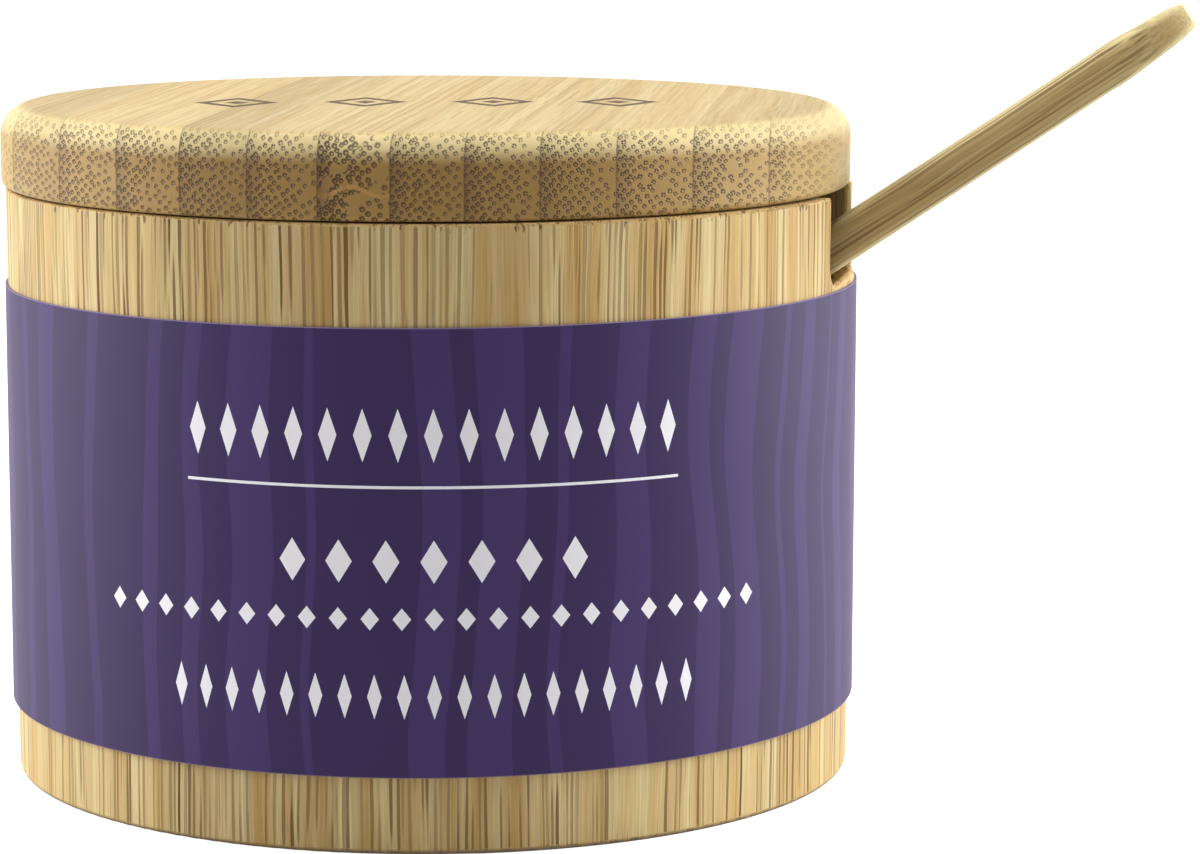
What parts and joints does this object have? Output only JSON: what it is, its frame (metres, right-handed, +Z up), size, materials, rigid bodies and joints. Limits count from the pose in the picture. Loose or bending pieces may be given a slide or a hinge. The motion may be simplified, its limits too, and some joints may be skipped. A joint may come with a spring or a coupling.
{
  "type": "salt cellar",
  "caption": "Round bamboo salt cellar with a swivel lid, a spoon leaning out of a slot in the wall, and a paper sleeve.",
  "frame": {"origin": "centre of the base, on the surface the box stands on", "axes": "+Z up; +X along the spoon and its slot; +Y towards the lid's pin; -Y towards the magnets"},
  "size_m": [0.124, 0.0895, 0.0807],
  "materials": {
    "bamboo_body": "satin",
    "bamboo_floor": "satin",
    "bamboo_lid": "satin",
    "bamboo_spoon": "satin",
    "magnet": "polished",
    "steel_pin": "ground",
    "sleeve_paper": "matte"
  },
  "bodies": {
    "box": {"box_body": "bamboo_body", "floor_disc": "bamboo_floor", "box_magnet": "magnet", "paper_sleeve": "sleeve_paper"},
    "lid": {"lid_strip_01": "bamboo_lid", "lid_strip_02": "bamboo_lid", "lid_strip_03": "bamboo_lid", "lid_strip_04": "bamboo_lid", "lid_strip_05": "bamboo_lid", "lid_strip_06": "bamboo_lid", "lid_strip_07": "bamboo_lid", "lid_strip_08": "bamboo_lid", "lid_strip_09": "bamboo_lid", "lid_strip_10": "bamboo_lid", "lid_strip_11": "bamboo_lid", "lid_strip_12": "bamboo_lid", "lid_strip_13": "bamboo_lid", "lid_magnet": "magnet", "pivot_pin": "steel_pin"},
    "spoon": {"spoon": "bamboo_spoon"}
  },
  "joints": [
    {"name": "lid_swing", "type": "hinge", "parent": "box", "child": "lid", "pos_m": [0, 0.03997, 0.06149], "axis": [0, 0, -1], "range_deg": [-3, 245]},
    {"name": "spoon_draw", "type": "slide", "parent": "box", "child": "spoon", "axis": [0.828, 0, 0.5608], "range_m": [0, 0.095]}
  ]
}
